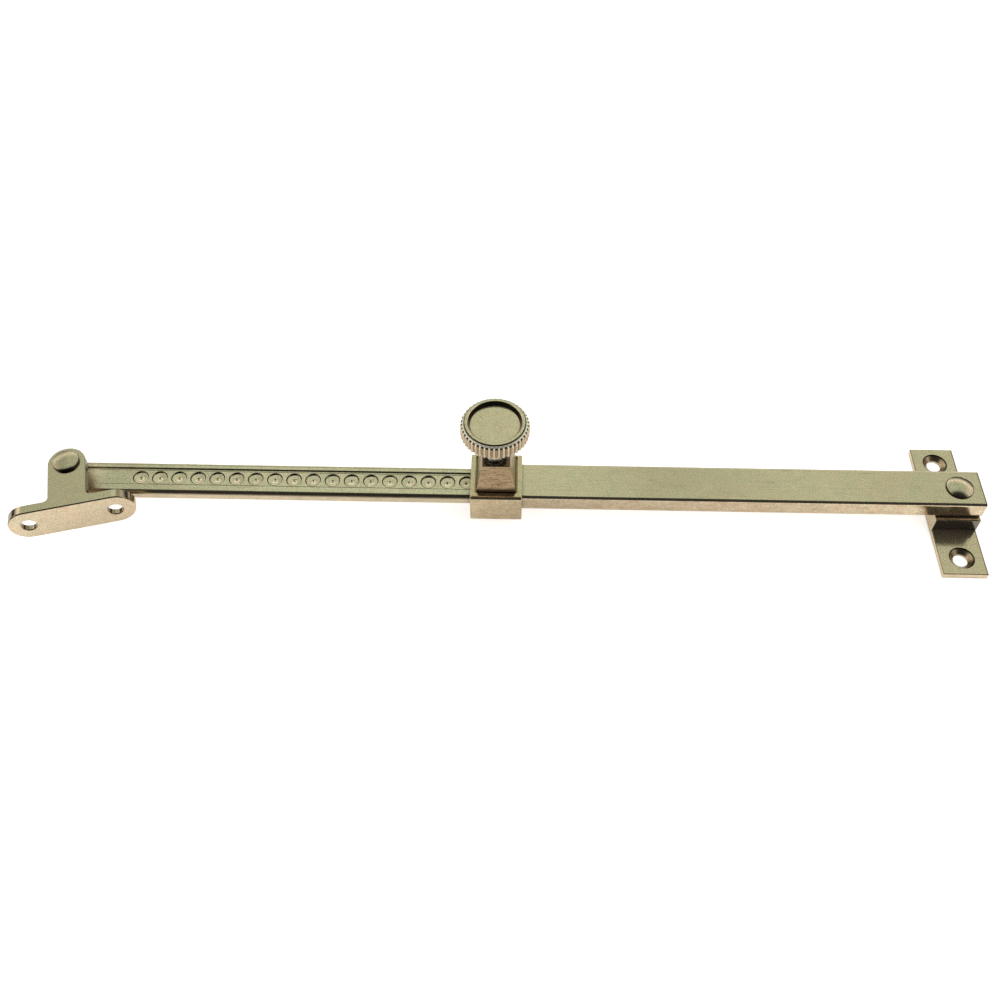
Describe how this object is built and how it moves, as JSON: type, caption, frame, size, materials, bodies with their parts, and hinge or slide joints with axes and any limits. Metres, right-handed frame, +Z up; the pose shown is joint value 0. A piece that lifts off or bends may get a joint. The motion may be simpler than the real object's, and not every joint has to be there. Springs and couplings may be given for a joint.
{
  "type": "casement window stay",
  "caption": "Telescopic casement window stay: a dimpled bar slides in a box-section arm and is clamped by a knurled knob, with a pivoted frame plate and sash bracket.",
  "frame": {"origin": "on the frame pivot's axis, at the underside of the frame plate, which is its mounting face", "axes": "+X points away from the arm, which runs along -X; +Y points away from the sash bracket's screwed face; +Z points up, from the mounting face towards the knob"},
  "size_m": [0.2796, 0.0464, 0.0378],
  "materials": {
    "nickel_plate": "satin antique nickel plate over brass",
    "nickel_tube": "satin antique nickel plate over brass, drawn lengthwise",
    "nickel_bar": "satin antique nickel plate over brass, punched dimples",
    "nickel_tower": "cast and filed, antique nickel plate over brass",
    "knob_nickel": "turned and knurled, nickel plate over brass",
    "rivet_nickel": "domed head, polished nickel plate over brass",
    "washer_brass": "plain machined brass",
    "screw_steel": "bright machined steel"
  },
  "bodies": {
    "base": {"frame_plate": "nickel_plate", "frame_pivot_rivet": "rivet_nickel", "frame_pivot_washer": "washer_brass"},
    "arm": {"outer_tube": "nickel_tube", "tube_end_plug": "washer_brass", "clamp_collar": "nickel_plate", "screw_tower": "nickel_tower"},
    "bar": {"slide_bar": "nickel_bar", "bar_stop_shoe": "washer_brass", "stop_shoe_rivet": "screw_steel", "sash_pivot_rivet": "rivet_nickel", "sash_pivot_washer": "washer_brass", "sash_tail_washer": "washer_brass"},
    "sash": {"sash_bracket": "nickel_plate"},
    "lift": {"pressure_foot": "washer_brass"},
    "turn": {"knob": "knob_nickel", "clamp_screw": "screw_steel"}
  },
  "joints": [
    {"name": "frame_pivot", "type": "hinge", "parent": "base", "child": "arm", "pos_m": [0, 0, 0.0068], "axis": [0, 0, 1], "range_deg": [-90, 90]},
    {"name": "bar_slide", "type": "slide", "parent": "arm", "child": "bar", "axis": [1, 0, 0], "range_m": [-0.008, 0.092]},
    {"name": "sash_pivot", "type": "hinge", "parent": "bar", "child": "sash", "pos_m": [-0.2593, 0, 0.0144], "axis": [0, 0, 1], "range_deg": [-195, 6]},
    {"name": "screw_lift", "type": "slide", "parent": "arm", "child": "lift", "axis": [0, 0, 1], "range_m": [0, 0.0017]},
    {"name": "knob_turn", "type": "hinge", "parent": "lift", "child": "turn", "pos_m": [-0.1351, 0.00025, 0.03], "axis": [0, 0, 1], "range_deg": [0, 720]}
  ],
  "couplings": [
    {"joint": "screw_lift", "follows": "knob_turn", "m_per_rad": 0.00012732}
  ]
}
